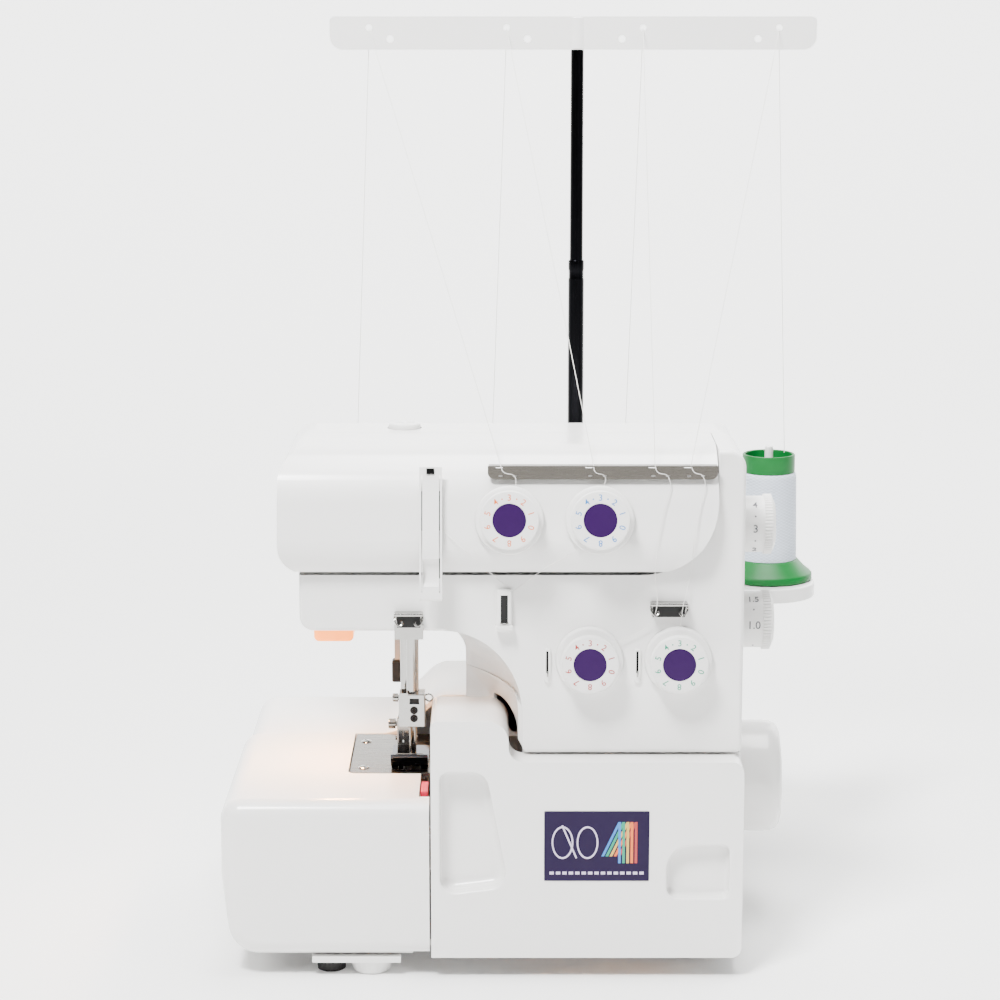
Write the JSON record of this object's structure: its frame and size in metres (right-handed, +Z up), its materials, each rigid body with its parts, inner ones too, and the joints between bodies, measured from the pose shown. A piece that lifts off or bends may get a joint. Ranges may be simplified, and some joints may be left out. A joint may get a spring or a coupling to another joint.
{
  "type": "serger overlock machine",
  "caption": "White table-top overlock machine with front tension dials, hinged looper cover, sliding cloth table, side dials, handwheel and a telescopic thread stand with spools.",
  "frame": {"origin": "middle of the footprint of the bounding box, on the surface that the rubber feet stand on", "axes": "+Z up; the front with the dials and the looper cover faces -Y; +X towards the handwheel"},
  "size_m": [0.356, 0.2771, 0.533],
  "materials": {
    "white_abs": "glossy moulded white ABS",
    "plate_steel": "brushed steel",
    "chrome_steel": "bright chromed steel",
    "die_casting": "as-cast aluminium",
    "motor_steel": "zinc-plated steel can",
    "black_plastic": "fine-grained black plastic",
    "black_pole": "glossy black tube",
    "foot_rubber": "matt black rubber",
    "red_plastic": "glossy red plastic",
    "spool_green": "glossy green plastic core, wound with white thread",
    "lamp_lens": "frosted lamp lens, lit warm",
    "thread": "spun white polyester thread"
  },
  "bodies": {
    "machine": {"base_pan": "die_casting", "rubber_foot_front_left": "foot_rubber", "rubber_foot_front_right": "foot_rubber", "rubber_foot_rear_left": "foot_rubber", "rubber_foot_rear_right": "foot_rubber", "rear_base_cover": "white_abs", "belt_cover": "white_abs", "front_cover": "white_abs", "upper_front_cover": "white_abs", "rear_cover": "white_abs", "lamp_lens": "lamp_lens", "machine_frame": "die_casting", "motor": "motor_steel", "drive_belt": "foot_rubber", "take_up_cover": "white_abs", "needle_plate": "plate_steel", "lower_knife": "chrome_steel", "thread_guide_plate": "plate_steel", "needle_thread_guide": "white_abs", "looper_thread_guide": "chrome_steel", "spool_tray": "white_abs", "thread_stand_outer_pole": "black_pole", "thread_1": "thread", "thread_2": "thread", "thread_3": "thread", "thread_4": "thread", "power_inlet": "black_plastic"},
    "side_table": {"side_cover": "white_abs"},
    "door_carrier": {"looper_cover_rod": "chrome_steel"},
    "looper_door": {"looper_cover": "white_abs"},
    "drive_shaft": {"main_shaft": "chrome_steel", "handwheel": "white_abs"},
    "motor_rotor": {"motor_pulley": "chrome_steel"},
    "needle_carrier": {"needle_bar": "chrome_steel", "needle_clamp": "chrome_steel", "needle_left": "chrome_steel", "needle_right": "chrome_steel"},
    "take_up": {"take_up_lever": "chrome_steel"},
    "lifter": {"presser_lifter": "black_plastic"},
    "presser": {"presser_bar": "chrome_steel"},
    "foot": {"presser_foot": "chrome_steel"},
    "pressure_knob": {"pressure_screw": "white_abs"},
    "feed": {"feed_dog": "chrome_steel"},
    "looper_upper": {"upper_looper": "chrome_steel"},
    "looper_lower": {"lower_looper": "chrome_steel"},
    "knife_upper": {"upper_knife": "chrome_steel"},
    "finger_knob": {"stitch_finger_knob": "red_plastic"},
    "dial_left_needle": {"left_needle_dial": "white_abs"},
    "dial_right_needle": {"right_needle_dial": "white_abs"},
    "dial_upper_looper": {"upper_looper_dial": "white_abs"},
    "dial_lower_looper": {"lower_looper_dial": "white_abs"},
    "dial_stitch_length": {"stitch_length_dial": "white_abs"},
    "dial_differential_feed": {"differential_feed_dial": "white_abs"},
    "stand_top": {"thread_stand_inner_pole": "black_pole", "thread_guide_bar": "white_abs"},
    "spool_1": {"thread_spool_1": "spool_green"},
    "spool_2": {"thread_spool_2": "spool_green"},
    "spool_3": {"thread_spool_3": "spool_green"},
    "spool_4": {"thread_spool_4": "spool_green"},
    "rocker": {"power_switch": "black_plastic"}
  },
  "joints": [
    {"name": "side_table_slide", "type": "slide", "parent": "machine", "child": "side_table", "axis": [-1, 0, 0], "range_m": [0, 0.035]},
    {"name": "looper_door_slide", "type": "slide", "parent": "machine", "child": "door_carrier", "axis": [1, 0, 0], "range_m": [0, 0.004]},
    {"name": "looper_door_hinge", "type": "hinge", "parent": "door_carrier", "child": "looper_door", "pos_m": [0.026, -0.12, 0.017], "axis": [1, 0, 0], "range_deg": [0, 80]},
    {"name": "handwheel_spin", "type": "hinge", "parent": "machine", "child": "drive_shaft", "pos_m": [0.115, -0.003, 0.082], "axis": [1, 0, 0], "continuous": true},
    {"name": "motor_spin", "type": "hinge", "parent": "machine", "child": "motor_rotor", "pos_m": [0.103, 0.055, 0.05], "axis": [1, 0, 0], "continuous": true},
    {"name": "needle_bar_slide", "type": "slide", "parent": "machine", "child": "needle_carrier", "axis": [0, 0, 1], "range_m": [0, 0.026]},
    {"name": "take_up_swing", "type": "hinge", "parent": "machine", "child": "take_up", "pos_m": [-0.059, -0.08, 0.24], "axis": [-1, 0, 0], "range_deg": [0, 35]},
    {"name": "presser_lifter_lift", "type": "hinge", "parent": "machine", "child": "lifter", "pos_m": [-0.082, 0.006, 0.178], "axis": [1, 0, 0], "range_deg": [0, 60]},
    {"name": "presser_bar_lift", "type": "slide", "parent": "machine", "child": "presser", "axis": [0, 0, 1], "range_m": [0, 0.006]},
    {"name": "presser_foot_tilt", "type": "hinge", "parent": "presser", "child": "foot", "pos_m": [-0.076, -0.034, 0.114], "axis": [-1, 0, 0], "range_deg": [0, 8]},
    {"name": "pressure_screw_turn", "type": "hinge", "parent": "machine", "child": "pressure_knob", "pos_m": [-0.076, -0.034, 0.3], "axis": [0, 0, 1], "range_deg": [-360, 360]},
    {"name": "feed_dog_travel", "type": "slide", "parent": "machine", "child": "feed", "axis": [0, 1, 0], "range_m": [-0.002, 0.002]},
    {"name": "upper_looper_swing", "type": "hinge", "parent": "machine", "child": "looper_upper", "pos_m": [-0.01, -0.053, 0.06], "axis": [0, -1, 0], "range_deg": [-8, 8]},
    {"name": "lower_looper_swing", "type": "hinge", "parent": "machine", "child": "looper_lower", "pos_m": [-0.028, -0.043, 0.045], "axis": [0, -1, 0], "range_deg": [-10, 10]},
    {"name": "upper_knife_travel", "type": "slide", "parent": "machine", "child": "knife_upper", "axis": [0, 0, 1], "range_m": [0, 0.008]},
    {"name": "stitch_finger_travel", "type": "slide", "parent": "machine", "child": "finger_knob", "axis": [0, 1, 0], "range_m": [0, 0.006]},
    {"name": "left_needle_tension_turn", "type": "hinge", "parent": "machine", "child": "dial_left_needle", "pos_m": [-0.0157, -0.12304, 0.263], "axis": [0, -0.9848, 0.1736], "range_deg": [-105, 215]},
    {"name": "right_needle_tension_turn", "type": "hinge", "parent": "machine", "child": "dial_right_needle", "pos_m": [0.034, -0.12304, 0.263], "axis": [0, -0.9848, 0.1736], "range_deg": [-105, 215]},
    {"name": "upper_looper_tension_turn", "type": "hinge", "parent": "machine", "child": "dial_upper_looper", "pos_m": [0.0291, -0.1143, 0.182], "axis": [0, -1, 0], "range_deg": [-105, 215]},
    {"name": "lower_looper_tension_turn", "type": "hinge", "parent": "machine", "child": "dial_lower_looper", "pos_m": [0.0786, -0.1143, 0.182], "axis": [0, -1, 0], "range_deg": [-105, 215]},
    {"name": "stitch_length_turn", "type": "hinge", "parent": "machine", "child": "dial_stitch_length", "pos_m": [0.1153, -0.063, 0.249], "axis": [1, 0, 0], "range_deg": [-120, 120]},
    {"name": "differential_feed_turn", "type": "hinge", "parent": "machine", "child": "dial_differential_feed", "pos_m": [0.1153, -0.063, 0.193], "axis": [1, 0, 0], "range_deg": [-120, 120]},
    {"name": "thread_stand_slide", "type": "slide", "parent": "machine", "child": "stand_top", "axis": [0, 0, 1], "range_m": [-0.128, 0], "deforming": ["thread_1", "thread_2", "thread_3", "thread_4"]},
    {"name": "spool_1_spin", "type": "hinge", "parent": "machine", "child": "spool_1", "pos_m": [-0.1005, 0.098, 0.1823], "axis": [0, 0, 1], "continuous": true},
    {"name": "spool_2_spin", "type": "hinge", "parent": "machine", "child": "spool_2", "pos_m": [-0.0165, 0.098, 0.1823], "axis": [0, 0, 1], "continuous": true},
    {"name": "spool_3_spin", "type": "hinge", "parent": "machine", "child": "spool_3", "pos_m": [0.0665, 0.098, 0.1823], "axis": [0, 0, 1], "continuous": true},
    {"name": "spool_4_spin", "type": "hinge", "parent": "machine", "child": "spool_4", "pos_m": [0.1485, 0.098, 0.1823], "axis": [0, 0, 1], "continuous": true},
    {"name": "power_rocker_tilt", "type": "hinge", "parent": "machine", "child": "rocker", "pos_m": [0.1165, 0.051, 0.038], "axis": [0, 1, 0], "range_deg": [-4, 4]}
  ],
  "couplings": [
    {"joint": "motor_spin", "follows": "handwheel_spin", "ratio": 2.25},
    {"joint": "take_up_swing", "follows": "needle_bar_slide", "rad_per_m": 23.025},
    {"joint": "presser_lifter_lift", "follows": "presser_bar_lift", "rad_per_m": 171.04}
  ]
}
